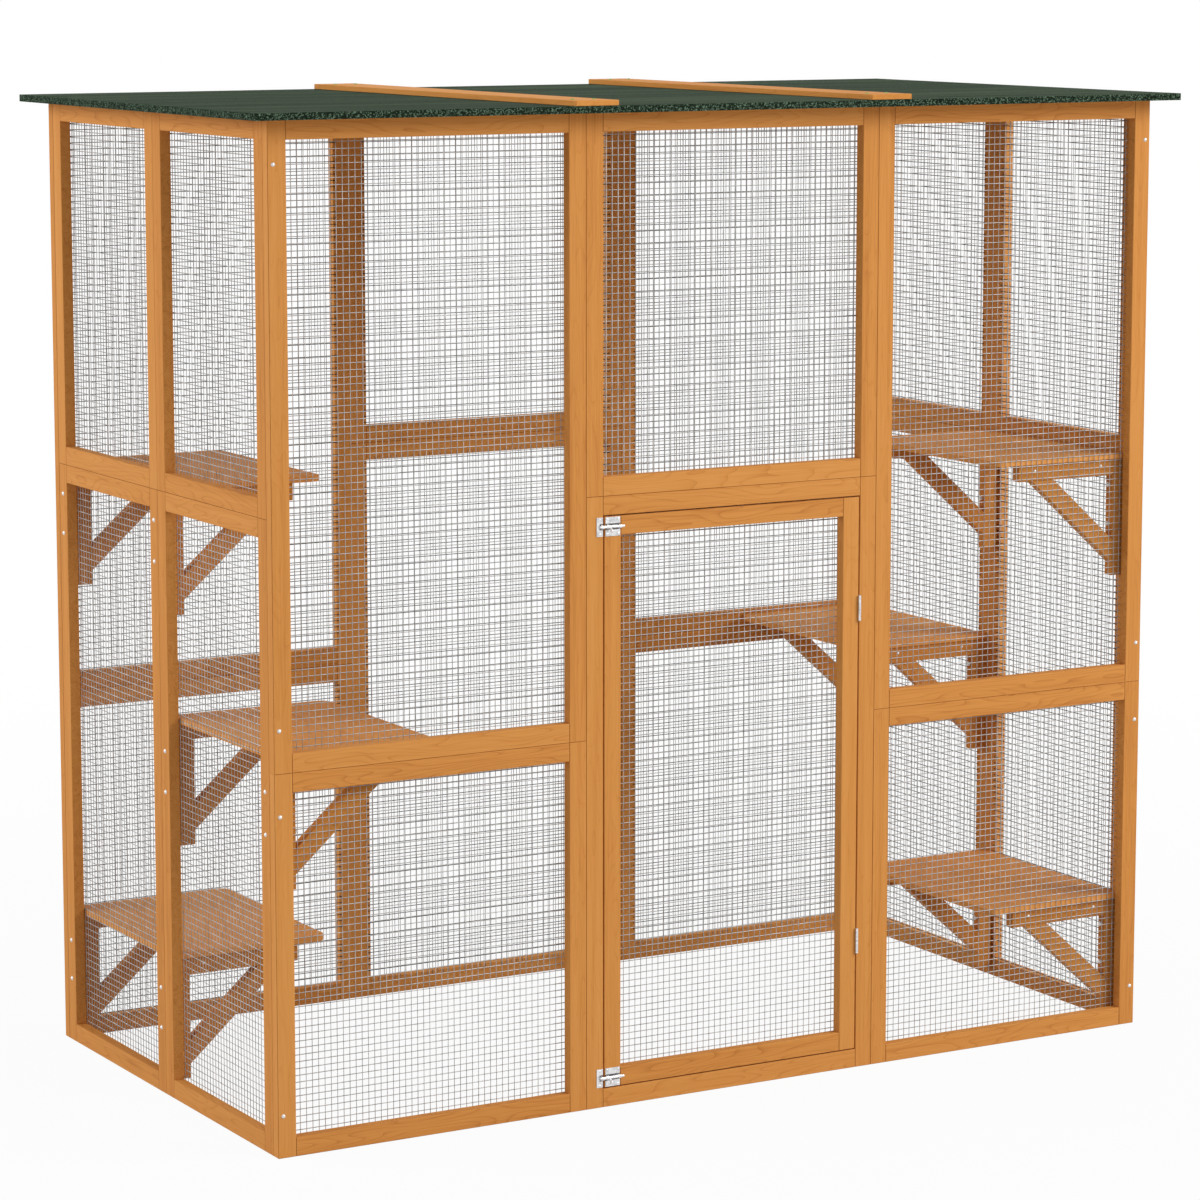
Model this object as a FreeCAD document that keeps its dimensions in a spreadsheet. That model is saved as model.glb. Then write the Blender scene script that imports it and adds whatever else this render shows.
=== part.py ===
import FreeCAD, Part
import os
import re
import Sketcher

# Outdoor cat enclosure: framed mesh panels, a felted roof, shelves on brackets and one bolted door.
# The origin is on the ground under the middle of the roof. +X runs along the front, +Y to the back, +Z up.

Vector = FreeCAD.Vector
Rotation = FreeCAD.Rotation
UP = Vector(0, 0, 1)
ALONG = Vector(1, 0, 0)

SIZES = {
    # wall panels
    "panel_width": 573,
    "bay_depth": 424,
    "tall_height": 1040,
    "short_height": 632,
    "timber_width": 32,
    "timber_thick": 19,
    "edge_ease": 0.7,
    # wire mesh
    "mesh_thick": 1,
    "mesh_clear": 0.5,
    # roof
    "roof_overhang": 38,
    "board_thick": 10,
    "felt_thick": 2,
    "batten_width": 80,
    "batten_thick": 9,
    # shelves and brackets
    "shelf_length": 288,
    "shelf_thick": 10,
    "shelf_corner": 20,
    "shelf_clear": 1,
    "top_shelf_rise": 5,
    "middle_shelf_rise": 24,
    "bottom_shelf": 241,
    "bracket_width": 30,
    "bracket_thick": 19,
    "bracket_height": 211,
    "arm_length": 235,
    "brace_width": 31,
    "brace_tip": 29,
    "brace_foot": 25,
    # door and hinges
    "door_gap": 2,
    "hinge_inset": 193,
    "hinge_length": 44,
    "knuckle_radius": 2.6,
    "knuckle_gap": 0.2,
    "knuckle_clear": 0.1,
    "leaf_thick": 1,
    "leaf_gap": 0.2,
    "leaf_depth": 15,
    "pin_radius": 1.2,
    "pin_fit": 0.02,
    "run_clear": 0.05,
    # barrel bolts
    "plate_height": 32,
    "plate_thick": 1,
    "plate_margin": 2,
    "plate_edge": 1,
    "strap_width": 5,
    "strap_thick": 1,
    "keeper_width": 12,
    "keeper_edge": 1,
    "rod_radius": 2.5,
    "rod_tip": 1.5,
    "rod_tail": 6,
    "knob_radius": 1.8,
    "knob_reach": 9,
    "knob_ball": 2.6,
    "knob_clear": 0.2,
    # fasteners
    "bore_clear": 0.1,
    "corner_head": 3.6,
    "corner_dome": 2.2,
    "corner_shank": 2,
    "corner_length": 42,
    "corner_inset": 70,
    "bolt_head": 3.8,
    "bolt_dome": 2.4,
    "bolt_shank": 2.5,
    "bolt_tail": 1.5,
    "bolt_drop": 17.5,
    "bolt_lift": 27,
    "nut_radius": 4.6,
    "nut_height": 4,
    "arm_head": 2.8,
    "arm_dome": 1.6,
    "arm_shank": 1.6,
    "arm_screw": 14,
    "arm_screw_near": 56,
    "arm_screw_far": 200,
    "arm_screw_rise": 18,
    "batten_head": 4,
    "batten_dome": 1.8,
    "batten_shank": 2,
    "batten_bite": 30,
    "batten_screw_pitch": 40,
    "plate_head": 2,
    "plate_dome": 1,
    "plate_shank": 1.2,
    "plate_screw": 12,
    "plate_screw_edge": 3.5,
    "hinge_head": 2.2,
    "hinge_shank": 1.2,
    "hinge_screw": 14,
    "hinge_screw_pitch": 28,
}

# Places worked out from the driving sizes
WALL_HEIGHT = "(tall_height + short_height)"
HALF_LENGTH = "(1.5 * panel_width)"
HALF_DEPTH = "(bay_depth + timber_thick)"
SIDE_FACE = f"({HALF_LENGTH} - timber_thick)"
ROOF_TOP = f"({WALL_HEIGHT} + board_thick + felt_thick)"
ROOF_EDGE = f"({HALF_DEPTH} + roof_overhang)"
HINGE_GAP = "(2 * leaf_thick + leaf_gap)"
DOOR_LEFT = "(-panel_width / 2 + timber_width + door_gap)"
DOOR_RIGHT = f"(panel_width / 2 - timber_width - {HINGE_GAP})"
DOOR_FOOT = "(timber_width + door_gap)"
DOOR_HEAD = "(tall_height - timber_width - door_gap)"
ARM_DROP = "(shelf_thick + bracket_width)"
POST_LENGTH = "(bracket_height - bracket_width)"

doc = FreeCAD.newDocument("cat_enclosure")
sheet = doc.addObject("Spreadsheet::Sheet", "Sizes")
for row, (alias, size) in enumerate(SIZES.items(), 1):
    sheet.set(f"A{row}", alias)
    sheet.set(f"B{row}", str(size))
    sheet.setAlias(f"B{row}", alias)
doc.recompute()

nodes = []


def bind(piece, prop, text):
    """Ties a property to an expression in the names of the sheet."""
    def cell(word):
        return f"Sizes.{word[0]}" if word[0] in SIZES else word[0]

    piece.setExpression(prop, re.sub(r"[a-z_]+", cell, text))


def put(piece, place, turn=None):
    """Gives a piece a fixed turn and a position tied to the sheet."""
    piece.Placement = FreeCAD.Placement(Vector(), turn or Rotation())
    for axis, text in zip("xyz", place):
        bind(piece, f"Placement.Base.{axis}", text)
    return piece


def box(name, size, place):
    piece = doc.addObject("Part::Box", name)
    for prop, text in zip(("Length", "Width", "Height"), size):
        bind(piece, prop, text)
    return put(piece, place)


def rod(name, radius, length, place, along=UP):
    piece = doc.addObject("Part::Cylinder", name)
    bind(piece, "Radius", radius)
    bind(piece, "Height", length)
    return put(piece, place, Rotation(UP, along))


def timber(name, size):
    """A planed batten with every edge eased."""
    body = doc.addObject("PartDesign::Body", name)
    blank = body.newObject("PartDesign::AdditiveBox", f"{name}_blank")
    for prop, text in zip(("Length", "Width", "Height"), size):
        bind(blank, prop, text)
    ease = body.newObject("PartDesign::Chamfer", f"{name}_ease")
    ease.Base = (blank, [f"Edge{number}" for number in range(1, 13)])
    bind(ease, "Size", "edge_ease")
    return body


def fuse(name, pieces):
    piece = doc.addObject("Part::MultiFuse", name)
    piece.Shapes = pieces
    return piece


def cut(name, base, tool):
    piece = doc.addObject("Part::Cut", name)
    piece.Base = base
    piece.Tool = tool
    piece.Refine = False
    return piece


def group(name, pieces):
    piece = doc.addObject("Part::Compound", name)
    piece.Links = pieces
    return piece


def copy_of(pattern, name, place, turn=None):
    piece = doc.addObject("App::Link", name)
    piece.LinkedObject = pattern
    piece.LinkTransform = True
    return put(piece, place, turn)


def node(piece, name):
    """Names a finished sub-part, which is written to a file of that name."""
    piece.Label = name
    nodes.append(piece)


def bored(name, pieces, bores):
    """A finished sub-part of these pieces, bored for its fasteners."""
    blank = group(f"{name}_blank", pieces)
    node(cut(name, blank, group(f"{name}_bores", bores)), name)


def domed_screw(name, head, dome, shank, length):
    """A fastener with a domed head on z = 0 and its shank below, and the bore that it needs."""
    ball = doc.addObject("Part::Sphere", f"{name}_dome")
    radius = f"({head}^2 + {dome}^2) / (2 * {dome})"
    bind(ball, "Radius", radius)
    bind(ball, "Angle1", f"asin(1 - 2 * {dome}^2 / ({head}^2 + {dome}^2))")
    put(ball, ("0", "0", f"{dome} - {radius}"))
    stem = rod(f"{name}_stem", shank, length, ("0", "0", f"-{length}"))
    depth = f"({length} + bore_clear)"
    bore = rod(f"{name}_bore", f"{shank} + bore_clear", depth, ("0", "0", f"-{depth}"))
    return fuse(f"{name}_pattern", [ball, stem]), bore


def countersunk_screw(name, spare):
    """A screw that lies flush with a hinge leaf on z = 0, made larger all round by the spare."""
    head = doc.addObject("Part::Cone", f"{name}_head")
    bind(head, "Radius1", f"hinge_shank + {spare}")
    bind(head, "Radius2", f"hinge_head + {spare}")
    bind(head, "Height", "leaf_thick")
    put(head, ("0", "0", "-leaf_thick"))
    depth = f"(hinge_screw + {spare})"
    stem = rod(f"{name}_stem", f"hinge_shank + {spare}", depth, ("0", "0", f"-{depth}"))
    return fuse(f"{name}_pattern", [head, stem])


def fasteners(name, pattern, bore, spots):
    """Like fasteners in one group, and their bores under the name of what they hold."""
    screws = []
    bores = {}
    for number, (held, place, out) in enumerate(spots, 1):
        turn = Rotation(UP, Vector(*out))
        screws.append(copy_of(pattern, f"{name}_{number}", place, turn))
        bores.setdefault(held, []).append(copy_of(bore, f"{name}_bore_{number}", place, turn))
    node(group(name, screws), name)
    return bores


# Screws through the corner stiles of the front and back walls, into the ends of the side walls

corner_spots = []
for side, end in (("left", -1), ("right", 1)):
    for wall, out in (("front", -1), ("back", 1)):
        for height in ("corner_inset", "short_height - corner_inset", "short_height + corner_inset",
                       f"{WALL_HEIGHT} - corner_inset"):
            place = (f"{end} * ({HALF_LENGTH} - timber_thick / 2)", f"{out} * {HALF_DEPTH}", height)
            corner_spots.append(((side, wall), place, (0, out, 0)))
corner_screw = domed_screw("corner_screw", "corner_head", "corner_dome", "corner_shank", "corner_length")
corner_bores = fasteners("corner_screws", *corner_screw, corner_spots)

# Bracket bolts, their nuts, and the screws in the bracket arms.
# A shelf has its name, its wall, the way out through that wall, its bay and the height of its top face.

SHELVES = [
    ("left_top", "left", -1, "rear", "(tall_height + top_shelf_rise)"),
    ("left_middle", "left", -1, "front", "(short_height + middle_shelf_rise)"),
    ("left_bottom", "left", -1, "rear", "bottom_shelf"),
    ("right_top", "right", 1, "front", "(tall_height + top_shelf_rise)"),
    ("right_middle", "right", 1, "rear", "(short_height + middle_shelf_rise)"),
    ("right_bottom", "right", 1, "front", "bottom_shelf"),
]
BAY_STILES = {
    "front": ("(-bay_depth + timber_width / 2)", "(-timber_width / 2)"),
    "rear": ("(timber_width / 2)", "(bay_depth - timber_width / 2)"),
}
# the lower bolt stays clear of the brace, which meets the post with a slanting end
BRACE_FALL = f"({POST_LENGTH} - brace_foot)"
BRACE_RUN = "(arm_length - brace_tip - bracket_width)"
BRACE_END = f"(brace_width * sqrt(1 + ({BRACE_FALL} / {BRACE_RUN})^2))"

bolt_spots = []
nut_spots = []
arm_spots = []
for name, wall, out, bay, top in SHELVES:
    for stile in BAY_STILES[bay]:
        for drop in ("bolt_drop", f"({BRACE_FALL} - {BRACE_END} - bolt_lift)"):
            height = f"{top} - {ARM_DROP} - {drop}"
            bolt_spots.append((name, (f"{out} * {HALF_LENGTH}", stile, height), (out, 0, 0)))
            nut_spots.append(((f"{out} * ({SIDE_FACE} - bracket_width)", stile, height), (-out, 0, 0)))
        for reach in ("arm_screw_near", "arm_screw_far"):
            place = (f"{out} * ({SIDE_FACE} - {reach})", f"{stile} - bracket_thick / 2",
                     f"{top} - {ARM_DROP} + arm_screw_rise")
            arm_spots.append((name, place, (0, -1, 0)))
BOLT_LENGTH = "(timber_thick + bracket_width + nut_height + bolt_tail)"
bracket_bolt = domed_screw("bracket_bolt", "bolt_head", "bolt_dome", "bolt_shank", BOLT_LENGTH)
bolt_bores = fasteners("bracket_bolts", *bracket_bolt, bolt_spots)
arm_screw = domed_screw("bracket_arm_screw", "arm_head", "arm_dome", "arm_shank", "arm_screw")
arm_bores = fasteners("arm_screws", *arm_screw, arm_spots)

nut_blank = doc.addObject("Part::Prism", "nut_blank")
nut_blank.Polygon = 6
bind(nut_blank, "Circumradius", "nut_radius")
bind(nut_blank, "Height", "nut_height")
nut_hole = rod("nut_hole", "bolt_shank + run_clear", "nut_height", ("0", "0", "0"))
nut = cut("nut_pattern", nut_blank, nut_hole)
nuts = [copy_of(nut, f"bracket_nut_{number}", place, Rotation(UP, Vector(*out)))
        for number, (place, out) in enumerate(nut_spots, 1)]
node(group("bracket_nuts", nuts), "bracket_nuts")

# Batten screws, two at each end of a batten, through the roof into the stiles on both sides of its joint

batten_spots = []
for joint in (-0.5, 0.5):
    for across in (-0.5, 0.5):
        for wall, out in (("front", -1), ("back", 1)):
            place = (f"{joint} * panel_width + {across} * batten_screw_pitch",
                     f"{out} * ({HALF_DEPTH} - timber_thick / 2)", f"{ROOF_TOP} + batten_thick")
            batten_spots.append((wall, place, (0, 0, 1)))
BATTEN_SCREW = "(batten_thick + felt_thick + board_thick + batten_bite)"
batten_screw = domed_screw("batten_screw", "batten_head", "batten_dome", "batten_shank", BATTEN_SCREW)
batten_bores = fasteners("batten_screws", *batten_screw, batten_spots)
roof_bores = batten_bores["front"] + batten_bores["back"]

# Screws of the barrel bolts: four in a plate on the door, two in a keeper on the surround

PLATE_WIDTH = "(timber_width - 2 * plate_margin)"
PLATE_X = f"({DOOR_LEFT} + plate_margin + {PLATE_WIDTH} / 2)"
KEEPER_X = "(-panel_width / 2 + timber_width - keeper_edge - keeper_width / 2)"
BOLT_HEIGHTS = {
    "upper": f"({DOOR_HEAD} - plate_edge - plate_height / 2)",
    "lower": f"({DOOR_FOOT} + plate_edge + plate_height / 2)",
}
plate_spots = []
keeper_spots = []
for level in BOLT_HEIGHTS.values():
    for up in (-1, 1):
        height = f"{level} + {up} * (plate_height / 2 - plate_screw_edge)"
        face = f"-{HALF_DEPTH} - plate_thick"
        keeper_spots.append(("surround", (KEEPER_X, face, height), (0, -1, 0)))
        for across in (-1, 1):
            x = f"{PLATE_X} + {across} * ({PLATE_WIDTH} / 2 - plate_screw_edge)"
            plate_spots.append(("door", (x, face, height), (0, -1, 0)))
plate_screw = domed_screw("plate_screw_drawn", "plate_head", "plate_dome", "plate_shank", "plate_screw")
plate_bores = fasteners("bolt_plate_screws", *plate_screw, plate_spots)
keeper_bores = fasteners("keeper_screws", *plate_screw, keeper_spots)

# Hinge screws, two in each leaf

HINGE_X = f"({DOOR_RIGHT} + {HINGE_GAP} / 2)"
HINGE_Y = f"(-{HALF_DEPTH} - knuckle_radius - knuckle_clear)"
HINGE_HEIGHTS = (f"({DOOR_HEAD} - hinge_inset)", f"({DOOR_FOOT} + hinge_inset)")
door_leaf_spots = []
frame_leaf_spots = []
for level in HINGE_HEIGHTS:
    for up in (-0.5, 0.5):
        y = f"-{HALF_DEPTH} + leaf_depth / 2"
        height = f"{level} + {up} * hinge_screw_pitch"
        door_leaf_spots.append(("door", (f"{HINGE_X} - leaf_gap / 2", y, height), (1, 0, 0)))
        frame_leaf_spots.append(("surround", (f"{HINGE_X} + leaf_gap / 2", y, height), (-1, 0, 0)))
hinge_screw = (countersunk_screw("hinge_screw_drawn", "0"), countersunk_screw("hinge_bore", "bore_clear"))
door_leaf_bores = fasteners("door_hinge_screws", *hinge_screw, door_leaf_spots)
frame_leaf_bores = fasteners("frame_hinge_screws", *hinge_screw, frame_leaf_spots)

# Wall panels: stiles of the full height, with rails butted between them.
# The end columns of the front and back have their short panel below, all others above.

HEIGHTS = {"tall": "tall_height", "short": "short_height"}
COLUMNS = {"left": -1.5, "centre": -0.5, "right": 0.5}
BAYS = {"rear": "0", "front": "-bay_depth"}
RAILS = {"x": "(panel_width - 2 * timber_width)", "y": "(bay_depth - 2 * timber_width)"}
stiles = {}
rails = {}
for kind, height in HEIGHTS.items():
    stiles["x", kind] = timber(f"{kind}_wall_stile", ("timber_width", "timber_thick", height))
    stiles["y", kind] = timber(f"{kind}_side_stile", ("timber_thick", "timber_width", height))
rails["x"] = timber("wall_rail", (RAILS["x"], "timber_thick", "timber_width"))
rails["y"] = timber("side_rail", ("timber_thick", RAILS["y"], "timber_width"))


def frame(name, stile, rail, along, size, corner, bores):
    """Four timbers set out along X or Y from the lower corner of a panel."""
    width, height = size

    def spot(across, up):
        x, y, z = corner
        if along == "x":
            return f"{x} + {across}", y, f"{z} + {up}"
        return x, f"{y} + {across}", f"{z} + {up}"

    timbers = [
        copy_of(stile, f"{name}_near_stile", spot("0", "0")),
        copy_of(stile, f"{name}_far_stile", spot(f"{width} - timber_width", "0")),
        copy_of(rail, f"{name}_bottom_rail", spot("timber_width", "0")),
        copy_of(rail, f"{name}_top_rail", spot("timber_width", f"{height} - timber_width")),
    ]
    if bores:
        bored(name, timbers, bores)
    else:
        node(group(name, timbers), name)


for wall in ("front", "back"):
    y = f"-{HALF_DEPTH}" if wall == "front" else "bay_depth"
    for column, start in COLUMNS.items():
        lower, upper = ("tall", "short") if column == "centre" else ("short", "tall")
        corner = corner_bores.get((column, wall), [])
        lower_name = f"{wall}_{column}_lower_frame"
        lower_bores = corner
        if (wall, column) == ("front", "centre"):
            lower_name = "door_surround_frame"
            lower_bores = keeper_bores["surround"] + frame_leaf_bores["surround"]
        frame(lower_name, stiles["x", lower], rails["x"], "x", ("panel_width", HEIGHTS[lower]),
              (f"{start} * panel_width", y, "0"), lower_bores)
        frame(f"{wall}_{column}_upper_frame", stiles["x", upper], rails["x"], "x",
              ("panel_width", HEIGHTS[upper]), (f"{start} * panel_width", y, HEIGHTS[lower]),
              corner + batten_bores[wall])

for wall, x in (("left", f"-{HALF_LENGTH}"), ("right", SIDE_FACE)):
    for bay, y in BAYS.items():
        corner = corner_bores[wall, "front" if bay == "front" else "back"]
        bolts = []
        for name, shelf_wall, out, shelf_bay, top in SHELVES:
            if (shelf_wall, shelf_bay) == (wall, bay):
                bolts += bolt_bores[name]
        frame(f"{wall}_{bay}_lower_frame", stiles["y", "tall"], rails["y"], "y",
              ("bay_depth", "tall_height"), (x, y, "0"), corner + bolts)
        frame(f"{wall}_{bay}_upper_frame", stiles["y", "short"], rails["y"], "y",
              ("bay_depth", "short_height"), (x, y, "tall_height"), corner)

# Door frame, hung in the surround with a gap all round

DOOR_WIDTH = f"({DOOR_RIGHT} - {DOOR_LEFT})"
DOOR_HEIGHT = f"({DOOR_HEAD} - {DOOR_FOOT})"
door_stile = timber("door_stile", ("timber_width", "timber_thick", DOOR_HEIGHT))
door_rail = timber("door_rail", (f"{DOOR_WIDTH} - 2 * timber_width", "timber_thick", "timber_width"))
frame("door_frame", door_stile, door_rail, "x", (DOOR_WIDTH, DOOR_HEIGHT),
      (DOOR_LEFT, f"-{HALF_DEPTH}", DOOR_FOOT), plate_bores["door"] + door_leaf_bores["door"])

# Wire mesh: a sheet for each panel, lapped onto the inner faces of its timbers beside the brackets

LAP = "((timber_width - bracket_thick) / 2 - mesh_clear)"
SHEET_EDGE = f"(timber_width - {LAP})"


def mesh_sheet(name, along, size, corner):
    """The sheet over the opening of a panel of this size, set out from the panel's lower corner."""
    width, height = (f"{length} - 2 * {SHEET_EDGE}" for length in size)
    x, y, z = corner
    if along == "x":
        return box(name, (width, "mesh_thick", height), (f"{x} + {SHEET_EDGE}", y, f"{z} + {SHEET_EDGE}"))
    return box(name, ("mesh_thick", width, height), (x, f"{y} + {SHEET_EDGE}", f"{z} + {SHEET_EDGE}"))


for wall, y in (("front", "-bay_depth"), ("back", "(bay_depth - mesh_thick)")):
    sheets = []
    for column, start in COLUMNS.items():
        lower, upper = ("tall", "short") if column == "centre" else ("short", "tall")
        for level, kind, foot in (("lower", lower, "0"), ("upper", upper, HEIGHTS[lower])):
            if (wall, column, level) != ("front", "centre", "lower"):
                sheets.append(mesh_sheet(f"{wall}_{column}_{level}_sheet", "x", ("panel_width", HEIGHTS[kind]),
                                         (f"{start} * panel_width", y, foot)))
    node(group(f"{wall}_mesh", sheets), f"{wall}_mesh")

for wall, x in (("left", f"-{SIDE_FACE}"), ("right", f"({SIDE_FACE} - mesh_thick)")):
    sheets = []
    for bay, y in BAYS.items():
        for level, kind, foot in (("lower", "tall", "0"), ("upper", "short", "tall_height")):
            sheets.append(mesh_sheet(f"{wall}_{bay}_{level}_sheet", "y", ("bay_depth", HEIGHTS[kind]),
                                     (x, y, foot)))
    node(group(f"{wall}_mesh", sheets), f"{wall}_mesh")

door_sheet = mesh_sheet("door_sheet", "x", (DOOR_WIDTH, DOOR_HEIGHT), (DOOR_LEFT, "-bay_depth", DOOR_FOOT))
node(group("door_mesh", [door_sheet]), "door_mesh")

# Roof: a board over each column, felt turned down over its edges, and battens over the joints

ROOF_SPANS = {
    "left": (f"(-{HALF_LENGTH} - roof_overhang)", "(-panel_width / 2)"),
    "centre": ("(-panel_width / 2)", "(panel_width / 2)"),
    "right": ("(panel_width / 2)", f"({HALF_LENGTH} + roof_overhang)"),
}
felts = []
for column, (left, right) in ROOF_SPANS.items():
    core = ((f"{right} - {left} - 2 * felt_thick", f"2 * {ROOF_EDGE} - 2 * felt_thick", "board_thick"),
            (f"{left} + felt_thick", f"-{ROOF_EDGE} + felt_thick", WALL_HEIGHT))
    bored(f"{column}_roof_board", [box(f"{column}_board", *core)], roof_bores)
    cover = box(f"{column}_cover", (f"{right} - {left}", f"2 * {ROOF_EDGE}", "board_thick + felt_thick"),
                (left, f"-{ROOF_EDGE}", WALL_HEIGHT))
    felts.append(cut(f"{column}_felt", cover, box(f"{column}_felt_core", *core)))
bored("roof_felts", felts, roof_bores)

batten = timber("batten_drawn", ("batten_width", f"2 * {ROOF_EDGE}", "batten_thick"))
battens = []
for joint, name in ((-0.5, "left"), (0.5, "right")):
    place = (f"{joint} * panel_width - batten_width / 2", f"-{ROOF_EDGE}", ROOF_TOP)
    battens.append(copy_of(batten, f"{name}_roof_batten", place))
bored("roof_battens", battens, roof_bores)

# Shelf board and bracket timbers, drawn from the inner face of the left wall

shelf = doc.addObject("PartDesign::Body", "shelf_drawn")
shelf_blank = shelf.newObject("PartDesign::AdditiveBox", "shelf_blank")
bind(shelf_blank, "Length", "shelf_length")
bind(shelf_blank, "Width", "bay_depth - 2 * (mesh_thick + shelf_clear)")
bind(shelf_blank, "Height", "shelf_thick")
shelf_blank.recompute()
outer_corners = []
for number, side in enumerate(shelf_blank.Shape.Edges, 1):
    if side.BoundBox.XMin > sheet.shelf_length / 2 and side.BoundBox.YLength + side.BoundBox.XLength < 1:
        outer_corners.append(f"Edge{number}")
shelf_round = shelf.newObject("PartDesign::Fillet", "shelf_round")
shelf_round.Base = (shelf_blank, outer_corners)
bind(shelf_round, "Radius", "shelf_corner")

arm = timber("bracket_arm", ("arm_length", "bracket_thick", "bracket_width"))
post = timber("bracket_post", ("bracket_width", "bracket_thick", POST_LENGTH))

# the brace's outline runs down its lower edge, up the post, back up its upper edge and along the arm
brace = doc.addObject("PartDesign::Body", "bracket_brace")
outline = brace.newObject("Sketcher::SketchObject", "brace_outline")
upright = next(plane for plane in brace.Origin.OriginFeatures if plane.Role == "XZ_Plane")
outline.AttachmentSupport = [(upright, "")]
outline.MapMode = "FlatFace"
tip = Vector(sheet.arm_length - sheet.brace_tip, 0, 0)
foot = Vector(sheet.bracket_width, sheet.brace_foot + sheet.bracket_width - sheet.bracket_height, 0)
rise = Vector(0, sheet.brace_width, 0)
inset = Vector(sheet.brace_width, 0, 0)
LOWER, ON_POST, UPPER, ON_ARM = range(4)
for begin, end in ((tip, foot), (foot, foot + rise), (foot + rise, tip - inset), (tip - inset, tip)):
    outline.addGeometry(Part.LineSegment(begin, end))
START, END, ORIGIN = 1, 2, -1
for line, following in ((LOWER, ON_POST), (ON_POST, UPPER), (UPPER, ON_ARM), (ON_ARM, LOWER)):
    outline.addConstraint(Sketcher.Constraint("Coincident", line, END, following, START))
outline.addConstraint(Sketcher.Constraint("Vertical", ON_POST))
outline.addConstraint(Sketcher.Constraint("Horizontal", ON_ARM))
outline.addConstraint(Sketcher.Constraint("Parallel", LOWER, UPPER))
outline.addConstraint(Sketcher.Constraint("PointOnObject", LOWER, START, ORIGIN))
reaches = [
    ("tip_reach", "arm_length - brace_tip", ("DistanceX", ORIGIN, START, LOWER, START, tip.x)),
    ("foot_reach", "bracket_width", ("DistanceX", ORIGIN, START, LOWER, END, foot.x)),
    ("foot_drop", BRACE_FALL, ("DistanceY", LOWER, END, ORIGIN, START, -foot.y)),
    ("breadth", "brace_width", ("Distance", UPPER, START, LOWER, sheet.brace_width)),
]
for name, text, reach in reaches:
    outline.renameConstraint(outline.addConstraint(Sketcher.Constraint(*reach)), name)
    bind(outline, f"Constraints.{name}", text)
pad = brace.newObject("PartDesign::Pad", "brace_pad")
pad.Profile = outline
pad.Reversed = True
bind(pad, "Length", "bracket_thick")

# Six shelves, each on two brackets; those of the right wall are turned half round

for name, wall, out, bay, top in SHELVES:
    turn = Rotation(UP, 90 + 90 * out)
    near = BAYS[bay] if wall == "left" else f"{BAYS[bay]} + bay_depth"
    place = (f"{out} * ({SIDE_FACE} - mesh_thick - mesh_clear)",
             f"{near} - {out} * (mesh_thick + shelf_clear)", f"{top} - shelf_thick")
    node(group(f"{name}_shelf", [copy_of(shelf, f"{name}_board", place, turn)]), f"{name}_shelf")
    timbers = []
    for number, stile in enumerate(BAY_STILES[bay], 1):
        for kind, pattern, drop in (("arm", arm, ARM_DROP), ("brace", brace, ARM_DROP),
                                    ("post", post, f"{ARM_DROP} - {POST_LENGTH}")):
            place = (f"{out} * {SIDE_FACE}", f"{stile} + {out} * bracket_thick / 2", f"{top} - {drop}")
            timbers.append(copy_of(pattern, f"{name}_{kind}_{number}", place, turn))
    bored(f"{name}_brackets", timbers, bolt_bores[name] + arm_bores[name])

# Butt hinges: leaves on the facing edges of door and surround, knuckles in front of the gap

KNUCKLE = "(hinge_length / 3 - knuckle_gap)"


def leaf(name, x, knuckles, bore):
    """A leaf that starts at this x, with knuckles at these shares of its length from the middle."""
    parts = [box(f"{name}_plate", ("leaf_thick", "leaf_depth", "hinge_length"),
                 (x, "knuckle_radius + knuckle_clear", "-hinge_length / 2"))]
    for number, share in enumerate(knuckles, 1):
        foot = f"{share} * hinge_length - {KNUCKLE} / 2"
        parts.append(rod(f"{name}_knuckle_{number}", "knuckle_radius", KNUCKLE, ("0", "0", foot)))
        wrap = ("leaf_thick", "knuckle_radius + 2 * knuckle_clear", KNUCKLE)
        parts.append(box(f"{name}_wrap_{number}", wrap, (x, "0", foot)))
    hole = rod(f"{name}_hole", bore, "2 * hinge_length", ("0", "0", "-hinge_length"))
    return cut(f"{name}_pattern", fuse(f"{name}_blank", parts), hole)


frame_leaf = leaf("frame_leaf", "leaf_gap / 2", (-1 / 3, 1 / 3), "pin_radius + pin_fit")
door_leaf = leaf("door_leaf", "-leaf_gap / 2 - leaf_thick", (0,), "pin_radius + run_clear")
for name, pattern, bores in (("hinge_frame_leaves", frame_leaf, frame_leaf_bores["surround"]),
                             ("hinge_door_leaves", door_leaf, door_leaf_bores["door"])):
    pair = [copy_of(pattern, f"{name}_{number}", (HINGE_X, HINGE_Y, level))
            for number, level in enumerate(HINGE_HEIGHTS, 1)]
    bored(name, pair, bores)
pins = []
for number, level in enumerate(HINGE_HEIGHTS, 1):
    foot = f"{level} - hinge_length / 2"
    pins.append(rod(f"hinge_pin_{number}", "pin_radius", "hinge_length", (HINGE_X, HINGE_Y, foot)))
node(group("hinge_pins", pins), "hinge_pins")

# Barrel bolts: a plate with two straps on the door, a keeper with one on the surround, and a sliding rod

ROD_BORE = "(rod_radius + run_clear)"
ROD_OUT = f"(plate_thick + {ROD_BORE})"
STRAP_RADIUS = f"({ROD_BORE} + strap_thick)"


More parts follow.
